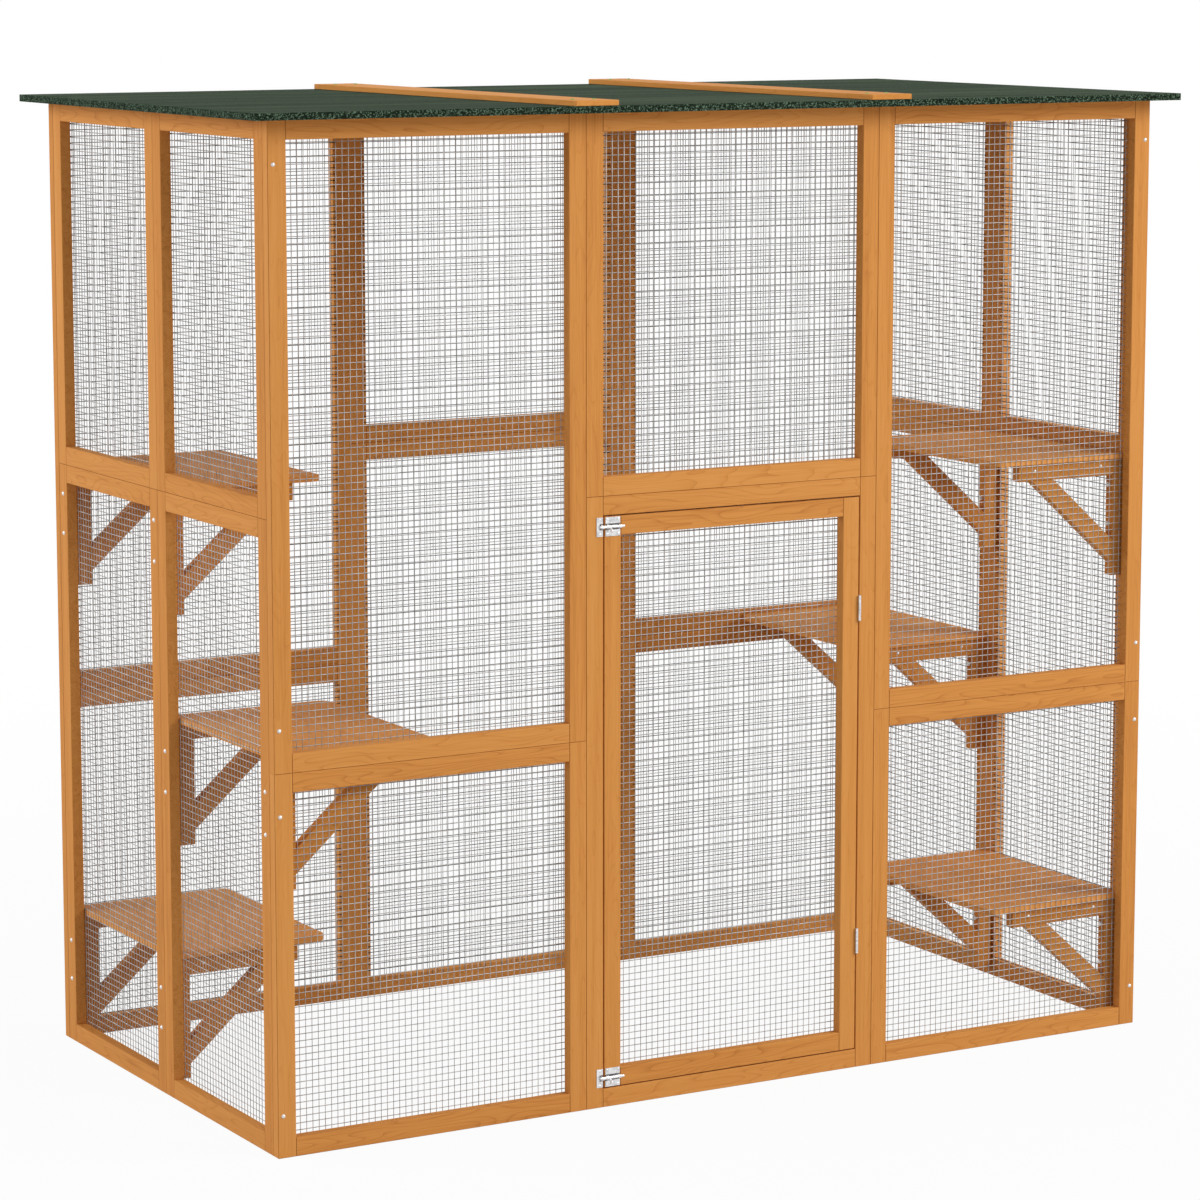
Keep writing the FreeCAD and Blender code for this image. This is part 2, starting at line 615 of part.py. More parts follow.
def strap_plate(name, width, straps):
    """A plate on the face y = 0 with straps that start at these places along it."""
    parts = [box(f"{name}_back", (width, "plate_thick", "plate_height"),
                 (f"-{width} / 2", "-plate_thick", "-plate_height / 2"))]
    for number, start in enumerate(straps, 1):
        axis = (start, f"-{ROD_OUT}", "0")
        parts.append(rod(f"{name}_loop_{number}", STRAP_RADIUS, "strap_width", axis, ALONG))
        parts.append(box(f"{name}_legs_{number}", ("strap_width", ROD_BORE, f"2 * {STRAP_RADIUS}"),
                         (start, f"-{ROD_OUT}", f"-{STRAP_RADIUS}")))
    hole = rod(f"{name}_hole", ROD_BORE, f"2 * {width}", (f"-{width}", f"-{ROD_OUT}", "0"), ALONG)
    # the loop of a strap thicker than the plate is trimmed level with the plate's back
    behind = box(f"{name}_behind", (f"2 * {width}", STRAP_RADIUS, "plate_height"),
                 (f"-{width}", "0", "-plate_height / 2"))
    return cut(f"{name}_pattern", fuse(f"{name}_blank", parts), group(f"{name}_waste", [hole, behind]))


plate = strap_plate("bolt_plate", PLATE_WIDTH, (f"-{PLATE_WIDTH} / 2", f"{PLATE_WIDTH} / 2 - strap_width"))
keeper = strap_plate("keeper", "keeper_width", ("keeper_width / 2 - strap_width",))
for name, pattern, x, bores in (("bolt_plates", plate, PLATE_X, plate_bores["door"]),
                                ("bolt_keepers", keeper, KEEPER_X, keeper_bores["surround"])):
    pair = [copy_of(pattern, f"{name}_{level}", (x, f"-{HALF_DEPTH}", height))
            for level, height in BOLT_HEIGHTS.items()]
    bored(name, pair, bores)

# The rod is drawn shot: its tip is through the keeper and its knob stands by the left strap.
KNOB_X = f"({PLATE_X} - {PLATE_WIDTH} / 2 + strap_width + knob_clear + knob_radius)"
TIP_X = f"({KEEPER_X} + keeper_width / 2 - strap_width - rod_tip)"
TAIL_X = f"({PLATE_X} + {PLATE_WIDTH} / 2 + rod_tail)"
ROD_Y = f"(-{HALF_DEPTH} - {ROD_OUT})"
for level, height in BOLT_HEIGHTS.items():
    bar = rod(f"{level}_bar", "rod_radius", f"{TAIL_X} - {TIP_X}", (TIP_X, ROD_Y, height), ALONG)
    stalk = rod(f"{level}_stalk", "knob_radius", "knob_reach", (KNOB_X, ROD_Y, height), Vector(0, -1, -1))
    ball = doc.addObject("Part::Sphere", f"{level}_knob")
    bind(ball, "Radius", "knob_ball")
    put(ball, (KNOB_X, f"{ROD_Y} - knob_reach / sqrt(2)", f"{height} - knob_reach / sqrt(2)"))
    node(fuse(f"{level}_bolt_rod", [bar, stalk, ball]), f"{level}_bolt_rod")

doc.recompute()

failed = [piece.Name for piece in doc.Objects if {"Invalid", "Error"} & set(piece.State)]
failed += [piece.Label for piece in nodes if piece.Shape.isNull() or not piece.Shape.isValid()]
if failed:
    raise RuntimeError(f"these did not build: {failed}")
os.makedirs("parts", exist_ok=True)
for piece in nodes:
    piece.Shape.exportStep(f"parts/{piece.Label}.step")
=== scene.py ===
import bpy
import math
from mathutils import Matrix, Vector


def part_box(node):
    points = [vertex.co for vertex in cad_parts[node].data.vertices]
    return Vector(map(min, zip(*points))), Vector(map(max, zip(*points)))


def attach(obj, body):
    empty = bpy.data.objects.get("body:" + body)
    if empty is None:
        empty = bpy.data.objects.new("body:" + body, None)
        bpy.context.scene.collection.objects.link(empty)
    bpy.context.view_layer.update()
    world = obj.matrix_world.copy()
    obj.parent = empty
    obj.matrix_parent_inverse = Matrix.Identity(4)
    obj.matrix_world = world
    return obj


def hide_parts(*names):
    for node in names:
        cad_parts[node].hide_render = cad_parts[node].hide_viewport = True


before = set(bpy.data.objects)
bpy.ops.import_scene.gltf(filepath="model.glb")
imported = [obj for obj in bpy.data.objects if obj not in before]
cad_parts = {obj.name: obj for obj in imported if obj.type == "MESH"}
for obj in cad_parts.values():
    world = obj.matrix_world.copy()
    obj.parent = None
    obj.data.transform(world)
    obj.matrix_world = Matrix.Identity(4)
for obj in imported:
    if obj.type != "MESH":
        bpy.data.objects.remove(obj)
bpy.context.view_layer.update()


# Wall panels: planed fir battens stained orange, two stiles of the full height with two rails butted
# between them. Each timber was cut from its own board, so its grain and tone are its own.

TIMBER_WIDTH = 0.032
RAILS_PER_PANEL = 2.0
TIMBERS_PER_PANEL = 4.0
FIRST_PANEL_TIMBER = 0.5
RAIL_FIGURE = 1.0
STILE_FIGURE = 0.45
BROAD_FACE = 0.7
SEAM = 0.0004
SEAM_SHADE = (0.29, 0.096, 0.018)
FIR_STAIN = ((0.47, 0.162, 0.032), (0.665, 0.275, 0.064), (0.77, 0.36, 0.102))

# Grain: the steps of a pattern in a metre go along the timber, across its face and into it
BOARD_SPREAD = 9.0
RING_DRIFT = (4, 26, 26)
RING_WANDER = 13.0
RINGS_PER_METRE = 50.0
RING_SHARPNESS = 6.0
FIBRES = (9, 420, 420)
STREAKS = (1.6, 70, 70)

# Tone: how far the fibres, the streaks, the board and the rings move it from its middle
MIDDLE_TONE = 0.53
FIBRE_TONE = 0.6
STREAK_TONE = 0.5
BOARD_TONE = 0.22
RING_TONE = -0.30
DARKEST_TONE = 0.06

FIBRE_ROUGHNESS = 0.18
PLANED_ROUGHNESS = 0.52
STAIN_GLOSS = 0.1
RING_RELIEF = -0.3
GRAIN_BUMP = 0.25
GRAIN_DEPTH = 0.0004


def step(tree, kind, inputs=None, **settings):
    """Adds one step to a finish. Its inputs are numbers, or outputs of earlier steps."""
    made = tree.nodes.new("ShaderNode" + kind)
    for name, value in settings.items():
        setattr(made, name, value)
    for place, value in (inputs or {}).items():
        if isinstance(value, bpy.types.NodeSocket):
            tree.links.new(value, made.inputs[place])
        else:
            made.inputs[place].default_value = value
    return made.outputs


def sums(tree, operation, *values):
    """One sum of numbers, or of outputs of earlier steps."""
    return step(tree, "Math", dict(enumerate(values)), operation=operation)[0]


def swing(tree, pattern, amount, middle):
    """A value that a pattern from 0 to 1 moves up and down around its middle."""
    return sums(tree, "MULTIPLY_ADD", sums(tree, "SUBTRACT", pattern, 0.5), amount, middle)


def pick(tree, share, first, second):
    """The first value where the share is 0, and the second where it is 1."""
    return step(tree, "Mix", {0: share, 2: first, 3: second})[0]


def stretch(tree, place, scale):
    """A place whose three distances are each multiplied by their own number."""
    return step(tree, "VectorMath", {0: place, 1: scale}, operation="MULTIPLY")[0]


def cloud(tree, place, detail, scale=1.0, roughness=0.5):
    """A cloudy pattern from 0 to 1."""
    inputs = {"Vector": place, "Scale": scale, "Detail": detail, "Roughness": roughness}
    return step(tree, "TexNoise", inputs)[0]


def tones(tree, share, colours, places=None):
    """Blends a row of colours by a share from 0 to 1."""
    ramp = tree.nodes.new("ShaderNodeValToRGB")
    places = places or [number / (len(colours) - 1) for number in range(len(colours))]
    while len(ramp.color_ramp.elements) < len(colours):
        ramp.color_ramp.elements.new(0.5)
    for element, place, colour in zip(ramp.color_ramp.elements, places, colours):
        element.position = place
        element.color = (*colour, 1)
    tree.links.new(share, ramp.inputs[0])
    return ramp.outputs[0]


def roughen(tree, surface, pattern, least, spread):
    """Makes a surface rougher with a pattern from 0 to 1, from its least roughness up."""
    roughness = sums(tree, "MULTIPLY_ADD", pattern, spread, least)
    tree.links.new(roughness, surface.inputs["Roughness"])


def new_finish(name):
    """A finish with its surface shader, and the spot on the piece that is being coloured."""
    finish = bpy.data.materials.new(name)
    finish.use_nodes = True
    tree = finish.node_tree
    surface = tree.nodes["Principled BSDF"]
    spot = step(tree, "TexCoord")["Object"]
    return finish, tree, surface, spot


def fir_grain(tree, surface, along, across, deep, timber, stain, figure, seam=0.0):
    """Stained fir: flame lines of the growth rings, fine fibres, and a tone for each timber."""
    board = step(tree, "TexWhiteNoise", {"W": timber}, noise_dimensions="1D")
    moved = step(tree, "VectorMath", {0: board["Color"], "Scale": BOARD_SPREAD}, operation="SCALE")[0]
    spot = step(tree, "CombineXYZ", {0: along, 1: across, 2: deep})[0]
    spot = step(tree, "VectorMath", {0: spot, 1: moved}, operation="ADD")[0]

    drift = cloud(tree, stretch(tree, spot, RING_DRIFT), detail=1.0)
    wander = sums(tree, "MULTIPLY", drift, RING_WANDER)
    rings = sums(tree, "MULTIPLY_ADD", across, RINGS_PER_METRE, wander)
    rings = sums(tree, "POWER", sums(tree, "FRACT", rings), RING_SHARPNESS)
    rings = sums(tree, "MULTIPLY", rings, figure)
    fibres = cloud(tree, stretch(tree, spot, FIBRES), detail=3.0, roughness=0.6)
    streaks = cloud(tree, stretch(tree, spot, STREAKS), detail=2.0)

    tone = swing(tree, fibres, FIBRE_TONE, MIDDLE_TONE)
    tone = swing(tree, streaks, STREAK_TONE, tone)
    tone = swing(tree, board["Value"], BOARD_TONE, tone)
    tone = sums(tree, "MAXIMUM", sums(tree, "MULTIPLY_ADD", rings, RING_TONE, tone), DARKEST_TONE)
    tone = sums(tree, "MULTIPLY", tone, sums(tree, "SUBTRACT", 1.0, seam))
    colour = tones(tree, tone, (SEAM_SHADE, *stain), (0.0, DARKEST_TONE, 0.5, 1.0))
    tree.links.new(colour, surface.inputs["Base Color"])

    roughen(tree, surface, fibres, least=PLANED_ROUGHNESS, spread=FIBRE_ROUGHNESS)
    surface.inputs["Specular IOR Level"].default_value = STAIN_GLOSS
    relief = sums(tree, "MULTIPLY_ADD", rings, RING_RELIEF, fibres)
    bump = step(tree, "Bump", {"Height": relief, "Strength": GRAIN_BUMP, "Distance": GRAIN_DEPTH})[0]
    tree.links.new(bump, surface.inputs["Normal"])


def panel_fir(name, low, high, number):
    """Fir for one panel: grain up the stiles and along the rails, and thin dark seams round them."""
    finish, tree, surface, spot = new_finish(name)
    x, y, z = step(tree, "SeparateXYZ", {0: spot})
    run = 0 if high[0] - low[0] > high[1] - low[1] else 1
    level, deep = (x, y) if run == 0 else (y, x)
    half_run, half_rise = (high[run] - low[run]) / 2, (high[2] - low[2]) / 2
    aside = sums(tree, "SUBTRACT", level, low[run] + half_run)
    rise = sums(tree, "SUBTRACT", z, low[2] + half_rise)
    from_side = sums(tree, "SUBTRACT", half_run, sums(tree, "ABSOLUTE", aside))
    from_end = sums(tree, "SUBTRACT", half_rise, sums(tree, "ABSOLUTE", rise))

    stile = sums(tree, "LESS_THAN", from_side, TIMBER_WIDTH)
    beyond_rail = sums(tree, "GREATER_THAN", from_end, TIMBER_WIDTH)
    off_joint = sums(tree, "ABSOLUTE", sums(tree, "SUBTRACT", from_side, TIMBER_WIDTH))
    from_joint = sums(tree, "ADD", beyond_rail, off_joint)
    nearest = sums(tree, "MINIMUM", from_joint, sums(tree, "MINIMUM", from_side, from_end))
    facing = step(tree, "SeparateXYZ", {0: step(tree, "TexCoord")["Normal"]})[1 - run]
    broad_face = sums(tree, "GREATER_THAN", sums(tree, "ABSOLUTE", facing), BROAD_FACE)
    seam = sums(tree, "MULTIPLY", broad_face, sums(tree, "LESS_THAN", nearest, SEAM))

    upper = sums(tree, "GREATER_THAN", rise, 0.0)
    right = sums(tree, "GREATER_THAN", aside, 0.0)
    second = pick(tree, stile, upper, right)
    timber = sums(tree, "MULTIPLY_ADD", stile, RAILS_PER_PANEL, second)
    timber = sums(tree, "ADD", timber, TIMBERS_PER_PANEL * number + FIRST_PANEL_TIMBER)
    along = pick(tree, stile, level, z)
    across = pick(tree, stile, z, level)
    figure = sums(tree, "MULTIPLY_ADD", stile, STILE_FIGURE - RAIL_FIGURE, RAIL_FIGURE)
    fir_grain(tree, surface, along, across, deep, timber, FIR_STAIN, figure, seam)
    return finish


panels = sorted(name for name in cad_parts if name.endswith("_frame"))
for number, name in enumerate(panels):
    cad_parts[name].data.materials[0] = panel_fir(name + "_fir", *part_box(name), number)


# Wire mesh: straight galvanised wires welded where they cross, upright ones against the timber and level
# ones inside them. Each sheet laps a little onto the timbers of its panel, which hold it with staples.

UPRIGHT_RADIUS = 0.00055
LEVEL_RADIUS = 0.00075
WIRE_PITCH = 0.0113
WIRE_LAP = 0.006
UPRIGHT_WIRES_IN = 0.00025
LEVEL_WIRES_IN = 0.0010
WIRE_SIDES = 6
SNIP_INSET = 0.3
SNIP_DEPTH = 0.5
ROUND_ANGLE = math.radians(62)

# Painted light: the outer side of each wire is coloured as lit and its inner side as shaded. The level
# wires are coloured lighter than the uprights, as if lit from above.
UPRIGHT_PAINTED_LIT_ZINC = ((0.35, 0.34, 0.325), (0.48, 0.47, 0.455), (0.63, 0.62, 0.60))
UPRIGHT_PAINTED_SHADE = ((0.23, 0.223, 0.213), (0.34, 0.332, 0.32), (0.48, 0.472, 0.46))
LEVEL_PAINTED_LIT_ZINC = ((0.49, 0.475, 0.455), (0.62, 0.605, 0.58), (0.76, 0.745, 0.72))
LEVEL_PAINTED_SHADE = ((0.013, 0.013, 0.0135), (0.026, 0.026, 0.0265), (0.05, 0.05, 0.05))
CLOUD_SPREAD = (0.3, 0.5, 0.7)
SPANGLES_PER_METRE = 60.0
# How far the painted light on the level wires is tilted upwards, and the facings over which painted shade
# turns into painted light
PAINTED_LIGHT_FROM_ABOVE = 0.75
PAINTED_SHADE_BELOW = 0.25
PAINTED_LIT_ABOVE = 0.75

WALLS_OUTWARD = {
    "front": (0, -1, 0),
    "back": (0, 1, 0),
    "left": (-1, 0, 0),
    "right": (1, 0, 0),
    "door": (0, -1, 0),
}


def galvanised(name, painted_lit_colours, painted_shade_colours, painted_lit_side):
    """Spangled zinc with painted light on the side that faces the given direction, and painted shade on
    the other side.
    """
    finish, tree, surface, spot = new_finish(name)
    spangle = cloud(tree, spot, detail=2.0, scale=SPANGLES_PER_METRE)
    normal = step(tree, "TexCoord")["Normal"]
    facing = step(tree, "VectorMath", {0: normal, 1: painted_lit_side}, operation="DOT_PRODUCT")["Value"]
    painted_lit_share = step(tree, "MapRange", {"Value": facing, "From Min": PAINTED_SHADE_BELOW, "From Max": PAINTED_LIT_ABOVE})[0]
    painted_shade_zinc = tones(tree, spangle, painted_shade_colours, CLOUD_SPREAD)
    painted_lit_zinc = tones(tree, spangle, painted_lit_colours, CLOUD_SPREAD)
    colour = step(tree, "Mix", {0: painted_lit_share, 6: painted_shade_zinc, 7: painted_lit_zinc}, data_type="RGBA")[2]
    tree.links.new(colour, surface.inputs["Base Color"])
    roughen(tree, surface, spangle, least=0.3, spread=0.3)
    surface.inputs["Metallic"].default_value = 0.15
    surface.inputs["Specular IOR Level"].default_value = 0.2
    return finish


def wires(name, zinc, radius, length, count, first, turn, shift):
    """A row of straight wires with snipped ends: one is drawn, and the rest repeat it."""
    bpy.ops.object.select_all(action="DESELECT")
    bpy.ops.mesh.primitive_cylinder_add(vertices=WIRE_SIDES, radius=radius, depth=length, location=first,
                                        rotation=turn)
    wire = bpy.context.object
    wire.name = name
    wire.data.materials.append(zinc)
    bpy.ops.object.transform_apply(location=True, rotation=True, scale=True)
    for face in wire.data.polygons:
        face.select = len(face.vertices) == WIRE_SIDES
    bpy.ops.object.mode_set(mode="EDIT")
    bpy.ops.mesh.select_mode(type="FACE")
    bpy.ops.mesh.inset(thickness=radius * SNIP_INSET, depth=radius * SNIP_DEPTH)
    bpy.ops.object.mode_set(mode="OBJECT")
    bpy.ops.object.shade_smooth_by_angle(angle=ROUND_ANGLE)
    row = wire.modifiers.new("row", "ARRAY")
    row.use_relative_offset = False
    row.use_constant_offset = True
    row.constant_offset_displace = shift
    row.count = count
    bpy.ops.object.modifier_apply(modifier="row")
    return wire


def mesh_sheet(panel, inward, upright_zinc_painted_light, level_zinc_painted_light):
    """The wires over one panel's opening, on the side of the panel that faces into the enclosure."""
    low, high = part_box(panel)
    run = 0 if high[0] - low[0] > high[1] - low[1] else 1
    inner = high[1 - run] if inward > 0 else low[1 - run]
    edge = TIMBER_WIDTH - WIRE_LAP
    start, foot = low[run] + edge, low[2] + edge
    width, height = high[run] - low[run] - 2 * edge, high[2] - low[2] - 2 * edge
    columns, lines = round(width / WIRE_PITCH), round(height / WIRE_PITCH)
    across, up = width / columns, height / lines

    def place(along, into, rise):
        spot = [0, 0, rise]
        spot[run], spot[1 - run] = along, inner + inward * into
        return spot

    aside = [0, 0, 0]
    aside[run] = across
    lying = (0, math.pi / 2, 0) if run == 0 else (math.pi / 2, 0, 0)
    first_upright = place(start + across, UPRIGHT_WIRES_IN, foot + height / 2)
    first_level = place(start + width / 2, LEVEL_WIRES_IN, foot + up)
    upright = wires(panel + "_upright", upright_zinc_painted_light, UPRIGHT_RADIUS, height - UPRIGHT_RADIUS, columns - 1,
                    first_upright, (0, 0, 0), aside)
    level = wires(panel + "_level", level_zinc_painted_light, LEVEL_RADIUS, width - LEVEL_RADIUS, lines - 1,
                  first_level, lying, (0, 0, up))
    return [upright, level]


for wall, outward in WALLS_OUTWARD.items():
    # Uprights are painted lit on their outer side and shaded inside. Level wires are painted lit on their
    # outer, upper side and almost black below and inside.
    painted_lit_side = (Vector(outward) + Vector((0, 0, PAINTED_LIGHT_FROM_ABOVE))).normalized()
    upright_zinc_painted_light = galvanised(wall + "_upright_zinc_painted_light", UPRIGHT_PAINTED_LIT_ZINC, UPRIGHT_PAINTED_SHADE, outward)
    level_zinc_painted_light = galvanised(wall + "_level_zinc_painted_light", LEVEL_PAINTED_LIT_ZINC, LEVEL_PAINTED_SHADE, painted_lit_side)
    inward = -sum(outward)
    rows = []
    for panel in panels:
        if panel.startswith(wall) and panel != "door_surround_frame":
            rows += mesh_sheet(panel, inward, upright_zinc_painted_light, level_zinc_painted_light)
    bpy.ops.object.select_all(action="DESELECT")
    for row in rows:
        row.select_set(True)
    bpy.context.view_layer.objects.active = rows[0]
    bpy.ops.object.join()
    mesh = bpy.context.object
    mesh.name = wall + "_wire_mesh"
    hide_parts(wall + "_mesh")
    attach(mesh, "door" if wall == "door" else "enclosure")


# Shelf boards: stained softwood boards with two rounded corners, lighter than the frames: partly a lighter
# stain, partly painted light for the light on their tops.
# Each lies on two brackets, with its grain along the wall.

FIRST_SHELF_TIMBER = 200.5
SHELF_STAIN_AND_PAINTED_LIGHT = ((0.58, 0.22, 0.050), (0.76, 0.32, 0.080), (0.87, 0.41, 0.12))

shelves = sorted(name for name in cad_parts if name.endswith("_shelf"))
for number, name in enumerate(shelves):
    finish, tree, surface, spot = new_finish(name + "_board")
    x, y, z = step(tree, "SeparateXYZ", {0: spot})
    fir_grain(tree, surface, y, x, z, FIRST_SHELF_TIMBER + number, SHELF_STAIN_AND_PAINTED_LIGHT, figure=0.5)
    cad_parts[name].data.materials[0] = finish


# Brackets: a post bolted to the wall, an arm under the shelf and a brace between them, cut from battens.
# The grain runs along each of the three, so down the post, along the arm and with the slope of the brace.

BRACKET_WIDTH = 0.030
ARM_NUMBER = 2.0
TIMBERS_PER_BRACKET = 3.0
FIRST_BRACKET_TIMBER = 300.5
# The brackets' stain is the frames' fir made darker: painted shade for the shade they stand in under the
# shelves.
BRACKET_STAIN_PAINTED_SHADE = ((0.44, 0.145, 0.024), (0.62, 0.245, 0.050), (0.73, 0.325, 0.082))
SLOPE = math.sqrt(0.5)

brackets = sorted(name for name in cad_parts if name.endswith("_brackets"))
for number, name in enumerate(brackets):
    low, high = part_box(name)
    finish, tree, surface, spot = new_finish(name + "_fir")
    x, y, z = step(tree, "SeparateXYZ", {0: spot})
    from_wall = sums(tree, "SUBTRACT", x, low[0]) if low[0] < 0 else sums(tree, "SUBTRACT", high[0], x)
    arm = sums(tree, "GREATER_THAN", z, high[2] - BRACKET_WIDTH)
    post = sums(tree, "LESS_THAN", from_wall, BRACKET_WIDTH)
    rear = sums(tree, "GREATER_THAN", y, (low[1] + high[1]) / 2)
    down_brace = sums(tree, "MULTIPLY", sums(tree, "ADD", from_wall, z), SLOPE)
    over_brace = sums(tree, "MULTIPLY", sums(tree, "SUBTRACT", z, from_wall), SLOPE)
    along = pick(tree, arm, pick(tree, post, down_brace, z), from_wall)
    across = pick(tree, arm, pick(tree, post, over_brace, from_wall), z)
    # Of a bracket's timbers the brace is number 0, the post 1 and the arm 2
    timber = pick(tree, arm, post, ARM_NUMBER)
    timber = sums(tree, "MULTIPLY_ADD", rear, TIMBERS_PER_BRACKET, timber)
    timber = sums(tree, "ADD", timber, FIRST_BRACKET_TIMBER + 2 * TIMBERS_PER_BRACKET * number)
    fir_grain(tree, surface, along, across, y, timber, BRACKET_STAIN_PAINTED_SHADE, figure=0.7)
    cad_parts[name].data.materials[0] = finish


# Roof boards: bare softwood boards over the three columns, each with its grain from front to back.
# They are seen only from below, and as thin lines at their joints.

PLANK_WIDTH = 0.095
FIRST_PLANK = 500.5
NUMBERS_PER_BOARD = 50.0
BOARD_WOOD = ((0.34, 0.17, 0.065), (0.47, 0.27, 0.12), (0.56, 0.35, 0.17))

for number, name in enumerate(("left_roof_board", "centre_roof_board", "right_roof_board")):
    finish, tree, surface, spot = new_finish(name + "_wood")
    x, y, z = step(tree, "SeparateXYZ", {0: spot})
    plank = sums(tree, "FLOOR", sums(tree, "DIVIDE", x, PLANK_WIDTH))
    timber = sums(tree, "ADD", plank, FIRST_PLANK + NUMBERS_PER_BOARD * number)
    fir_grain(tree, surface, y, x, z, timber, BOARD_WOOD, figure=0.8)
    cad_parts[name].data.materials[0] = finish


# Roof felt: bitumen felt with green mineral granules, turned down over the edges of the boards.
# Its top is worn even, and the granules stand out brighter where it is bent over the edge.

FELT_TOP = ((0.009, 0.019, 0.009), (0.033, 0.053, 0.030), (0.074, 0.107, 0.067))
FELT_EDGE = ((0.005, 0.010, 0.005), (0.011, 0.021, 0.011), (0.15, 0.23, 0.155))
BRIGHT_GRANULES = (0.0, 0.62, 1.0)
GRANULES_PER_METRE = 600.0
ROLLED = (1.5, 14, 14)
ROLLED_TONE = 1.3
GRANULE_TONE = 0.5
DARKEST_GRANULE = 0.25
TOP_DEPTH = 0.0004
GRANULE_BUMP = 0.6
GRANULE_DEPTH = 0.0008

felt_low, felt_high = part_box("roof_felts")
felt, tree, surface, spot = new_finish("green_roof_felt")
granules = step(tree, "TexVoronoi", {"Vector": spot, "Scale": GRANULES_PER_METRE})
shade = step(tree, "SeparateColor", {0: granules["Color"]})[0]
rolled = cloud(tree, stretch(tree, spot, ROLLED), detail=3.0)
speckled = sums(tree, "MULTIPLY_ADD", shade, GRANULE_TONE, DARKEST_GRANULE)
top = tones(tree, swing(tree, rolled, ROLLED_TONE, speckled), FELT_TOP)
edge = tones(tree, shade, FELT_EDGE, BRIGHT_GRANULES)
x, y, z = step(tree, "SeparateXYZ", {0: spot})
on_top = sums(tree, "GREATER_THAN", z, felt_high[2] - TOP_DEPTH)
colour = step(tree, "Mix", {0: on_top, 6: edge, 7: top}, data_type="RGBA")[2]
tree.links.new(colour, surface.inputs["Base Color"])
surface.inputs["Roughness"].default_value = 0.85
surface.inputs["Specular IOR Level"].default_value = 0.06
relief = {"Height": granules["Distance"], "Strength": GRANULE_BUMP, "Distance": GRANULE_DEPTH}
tree.links.new(step(tree, "Bump", relief)[0], surface.inputs["Normal"])
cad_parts["roof_felts"].data.materials[0] = felt


# Roof battens: flat fir battens, a little lighter than the frames, with their grain from front to back.
# They are screwed down over the joints between the boards, and keep the rain out of them.

FIRST_BATTEN_TIMBER = 700.5
BATTEN_STAIN = ((0.49, 0.172, 0.029), (0.67, 0.278, 0.061), (0.79, 0.365, 0.097))

batten, tree, surface, spot = new_finish("batten_fir")
x, y, z = step(tree, "SeparateXYZ", {0: spot})
right = sums(tree, "GREATER_THAN", x, 0.0)
timber = sums(tree, "ADD", right, FIRST_BATTEN_TIMBER)
fir_grain(tree, surface, y, x, z, timber, BATTEN_STAIN, figure=0.6)
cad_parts["roof_battens"].data.materials[0] = batten


# Hinges and barrel bolts: pressed steel, bright zinc plated, with a faint bloom. The leaves, plates and
# keepers are screwed on, and a painted shadow of the rods and their straps darkens the plates in a band
# along each rod.

BRIGHT_ZINC = ((0.50, 0.50, 0.51), (0.74, 0.74, 0.75), (0.90, 0.90, 0.90))
PRESSED_ZINC = ((0.48, 0.48, 0.49), (0.72, 0.72, 0.73), (0.88, 0.88, 0.88))
# Painted shadow on the plates: its colour, its place among the bloom's tones, how much it darkens, and how
# far it reaches from each rod
PAINTED_ROD_SHADOW = (0.06, 0.05, 0.04)
PAINTED_SHADOW_PLACE = 0.1
PAINTED_SHADOW_TONE = -0.75
ROD_RADIUS = 0.0025
PAINTED_SHADOW_REACH = 0.0052
PLATE_FACE = 0.0012
BLOOMS_PER_METRE = 170.0


def zinc_plate(name):
    """Bright zinc plate with its sheen and its bloom, still without its colour."""
    finish, tree, surface, spot = new_finish(name)
    bloom = cloud(tree, spot, detail=4.0, scale=BLOOMS_PER_METRE, roughness=0.65)
    roughen(tree, surface, bloom, least=0.18, spread=0.25)
    surface.inputs["Metallic"].default_value = 0.9
    return finish, tree, surface, spot, bloom


zinc, tree, surface, spot, bloom = zinc_plate("painted_lit_zinc")
tree.links.new(tones(tree, bloom, BRIGHT_ZINC, CLOUD_SPREAD), surface.inputs["Base Color"])
for name in ("hinge_frame_leaves", "hinge_door_leaves", "hinge_pins", "upper_bolt_rod", "lower_bolt_rod",
             "bolt_plate_screws", "keeper_screws", "door_hinge_screws", "frame_hinge_screws"):
    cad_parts[name].data.materials[0] = zinc

pressed, tree, surface, spot, bloom = zinc_plate("pressed_zinc_painted_shadow")
x, y, z = step(tree, "SeparateXYZ", {0: spot})
# Painted shadow: the plate face is darkened in a band on either side of each rod, where the rods and
# straps cast shade
painted_rod_shadows = []
for rod in ("upper_bolt_rod", "lower_bolt_rod"):
    rod_low, rod_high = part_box(rod)
    off_rod = sums(tree, "ABSOLUTE", sums(tree, "SUBTRACT", z, rod_high[2] - ROD_RADIUS))
    beside = sums(tree, "GREATER_THAN", x, rod_low[0])
    painted_rod_shadows.append(sums(tree, "MULTIPLY", beside, sums(tree, "LESS_THAN", off_rod, PAINTED_SHADOW_REACH)))
on_plate = sums(tree, "GREATER_THAN", y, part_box("bolt_plates")[1][1] - PLATE_FACE)
painted_shadow = sums(tree, "MULTIPLY", on_plate, sums(tree, "ADD", *painted_rod_shadows))
tone = sums(tree, "MULTIPLY", bloom, sums(tree, "MULTIPLY_ADD", painted_shadow, PAINTED_SHADOW_TONE, 1.0))
colour = tones(tree, tone, (PAINTED_ROD_SHADOW, *PRESSED_ZINC), (PAINTED_SHADOW_PLACE, *CLOUD_SPREAD))
tree.links.new(colour, surface.inputs["Base Color"])
for name in ("bolt_plates", "bolt_keepers"):
    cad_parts[name].data.materials[0] = pressed


# Screws, bracket bolts and nuts: plain steel, white zinc plated, with domed heads.
# The batten screws are passivated to a greenish yellow.

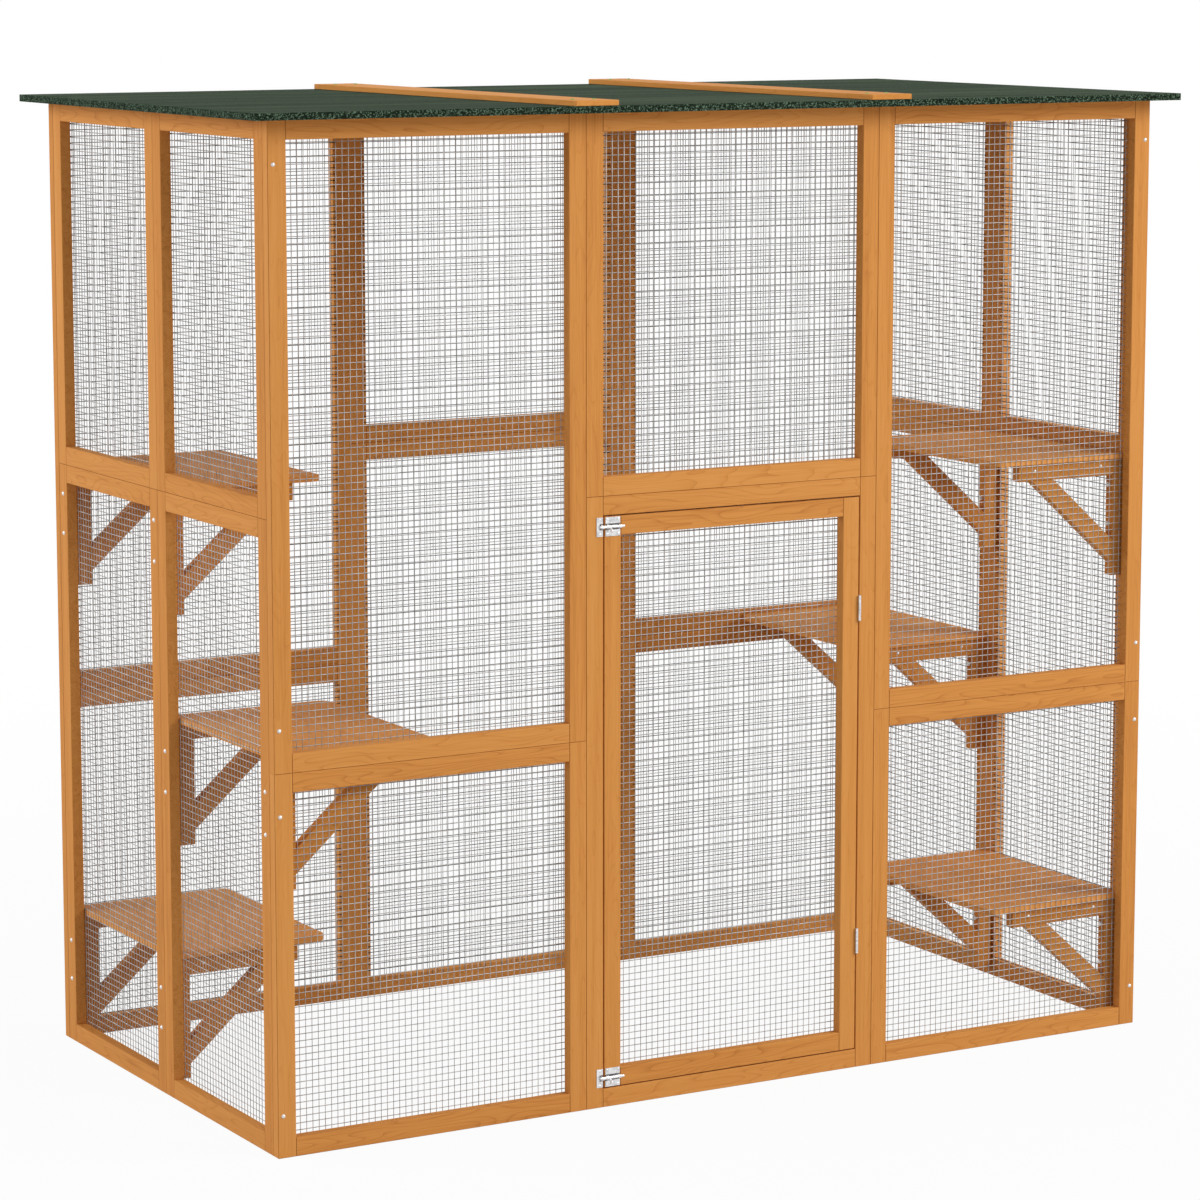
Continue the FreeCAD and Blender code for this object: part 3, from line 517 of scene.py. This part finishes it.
WHITE_ZINC = ((0.62, 0.62, 0.61), (0.86, 0.86, 0.85))
YELLOW_ZINC = ((0.17, 0.26, 0.03), (0.33, 0.42, 0.07))
WEAR_PER_METRE = 400.0

screw_zinc, tree, surface, spot = new_finish("white_zinc_screws")
wear = cloud(tree, spot, detail=2.0, scale=WEAR_PER_METRE)
tree.links.new(tones(tree, wear, WHITE_ZINC), surface.inputs["Base Color"])
roughen(tree, surface, wear, least=0.25, spread=0.2)
surface.inputs["Metallic"].default_value = 0.6
for name in ("corner_screws", "bracket_bolts", "bracket_nuts", "arm_screws"):
    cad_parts[name].data.materials[0] = screw_zinc

yellow_zinc, tree, surface, spot = new_finish("yellow_zinc_screws")
wear = cloud(tree, spot, detail=2.0, scale=WEAR_PER_METRE)
tree.links.new(tones(tree, wear, YELLOW_ZINC), surface.inputs["Base Color"])
surface.inputs["Roughness"].default_value = 0.4
surface.inputs["Metallic"].default_value = 0.5
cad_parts["batten_screws"].data.materials[0] = yellow_zinc


# Floor, light and camera: a plain white floor under soft studio light, with one large lamp in front on the
# right and one on the left towards the back, and the camera at the photograph's angle.

FLOOR_SIZE = 60
FLOOR_DROP = 0.0003
FLOOR_GREY = (0.6, 0.6, 0.6, 1)
WHITE = (1, 1, 1, 1)
SHADOW_NEAR = 1.0
SHADOW_FAR = 4.0
WHITE_NEAR = 0.95
SKY_LIGHT = 0.48
LAMPS_AIM = (0, 0, 0.8)
CAMERA_PLACE = (-3.6316, -6.2938, 1.9351)
CAMERA_DOWN = 8.153
CAMERA_RIGHT = 29.949


def in_view(tree):
    """1 where the background is seen, straight or mirrored, and 0 where it only lights the enclosure."""
    path = step(tree, "LightPath")
    mirrored = sums(tree, "MAXIMUM", path["Is Glossy Ray"], path["Is Transmission Ray"])
    return sums(tree, "MAXIMUM", path["Is Camera Ray"], mirrored)


def studio_lamp(name, place, size, power):
    """A square soft lamp that faces the middle of the enclosure."""
    bpy.ops.object.light_add(type="AREA", location=place)
    lamp = bpy.context.object
    lamp.name = name
    lamp.data.shape = "SQUARE"
    lamp.data.size = size
    lamp.data.energy = power
    lamp.rotation_euler = (Vector(LAMPS_AIM) - Vector(place)).to_track_quat("-Z", "Y").to_euler()


bpy.ops.object.select_all(action="DESELECT")
bpy.ops.mesh.primitive_plane_add(size=FLOOR_SIZE, location=(0, 0, -FLOOR_DROP))
floor = bpy.context.object
floor.name = "studio_floor"
white, tree, surface, spot = new_finish("white_floor")
surface.inputs["Base Color"].default_value = FLOOR_GREY
surface.inputs["Roughness"].default_value = 0.9
surface.inputs["Specular IOR Level"].default_value = 0.0
glow = step(tree, "Emission", {"Color": WHITE, "Strength": 1.0})[0]
away = step(tree, "VectorMath", {0: spot}, operation="LENGTH")["Value"]
clear = step(tree, "MapRange", {"Value": away, "From Min": SHADOW_NEAR, "From Max": SHADOW_FAR,
                                "To Min": WHITE_NEAR, "To Max": 1.0})[0]
white_share = sums(tree, "MULTIPLY", in_view(tree), clear)
cover = step(tree, "MixShader", {0: white_share, 1: surface.outputs[0], 2: glow})[0]
tree.links.new(cover, tree.nodes["Material Output"].inputs["Surface"])
floor.data.materials.append(white)

studio = bpy.data.worlds.new("white_studio")
bpy.context.scene.world = studio
studio.use_nodes = True
tree = studio.node_tree
sky = tree.nodes["Background"]
sky.inputs["Color"].default_value = WHITE
strength = sums(tree, "MULTIPLY_ADD", in_view(tree), 1.0 - SKY_LIGHT, SKY_LIGHT)
tree.links.new(strength, sky.inputs["Strength"])

studio_lamp("key_lamp", place=(7.5, -7.5, 6.8), size=6.5, power=1060)
studio_lamp("side_lamp", place=(-9.35, 4.4, 4.65), size=5.0, power=540)

bpy.ops.object.camera_add(location=CAMERA_PLACE)
camera = bpy.context.object
camera.rotation_euler = (math.radians(90 - CAMERA_DOWN), 0, math.radians(-CAMERA_RIGHT))
camera.data.lens = 123.74
camera.data.sensor_width = 36
camera.data.shift_y = -0.05
camera.data.clip_end = 100
bpy.context.scene.camera = camera
bpy.context.scene.view_settings.view_transform = "Standard"
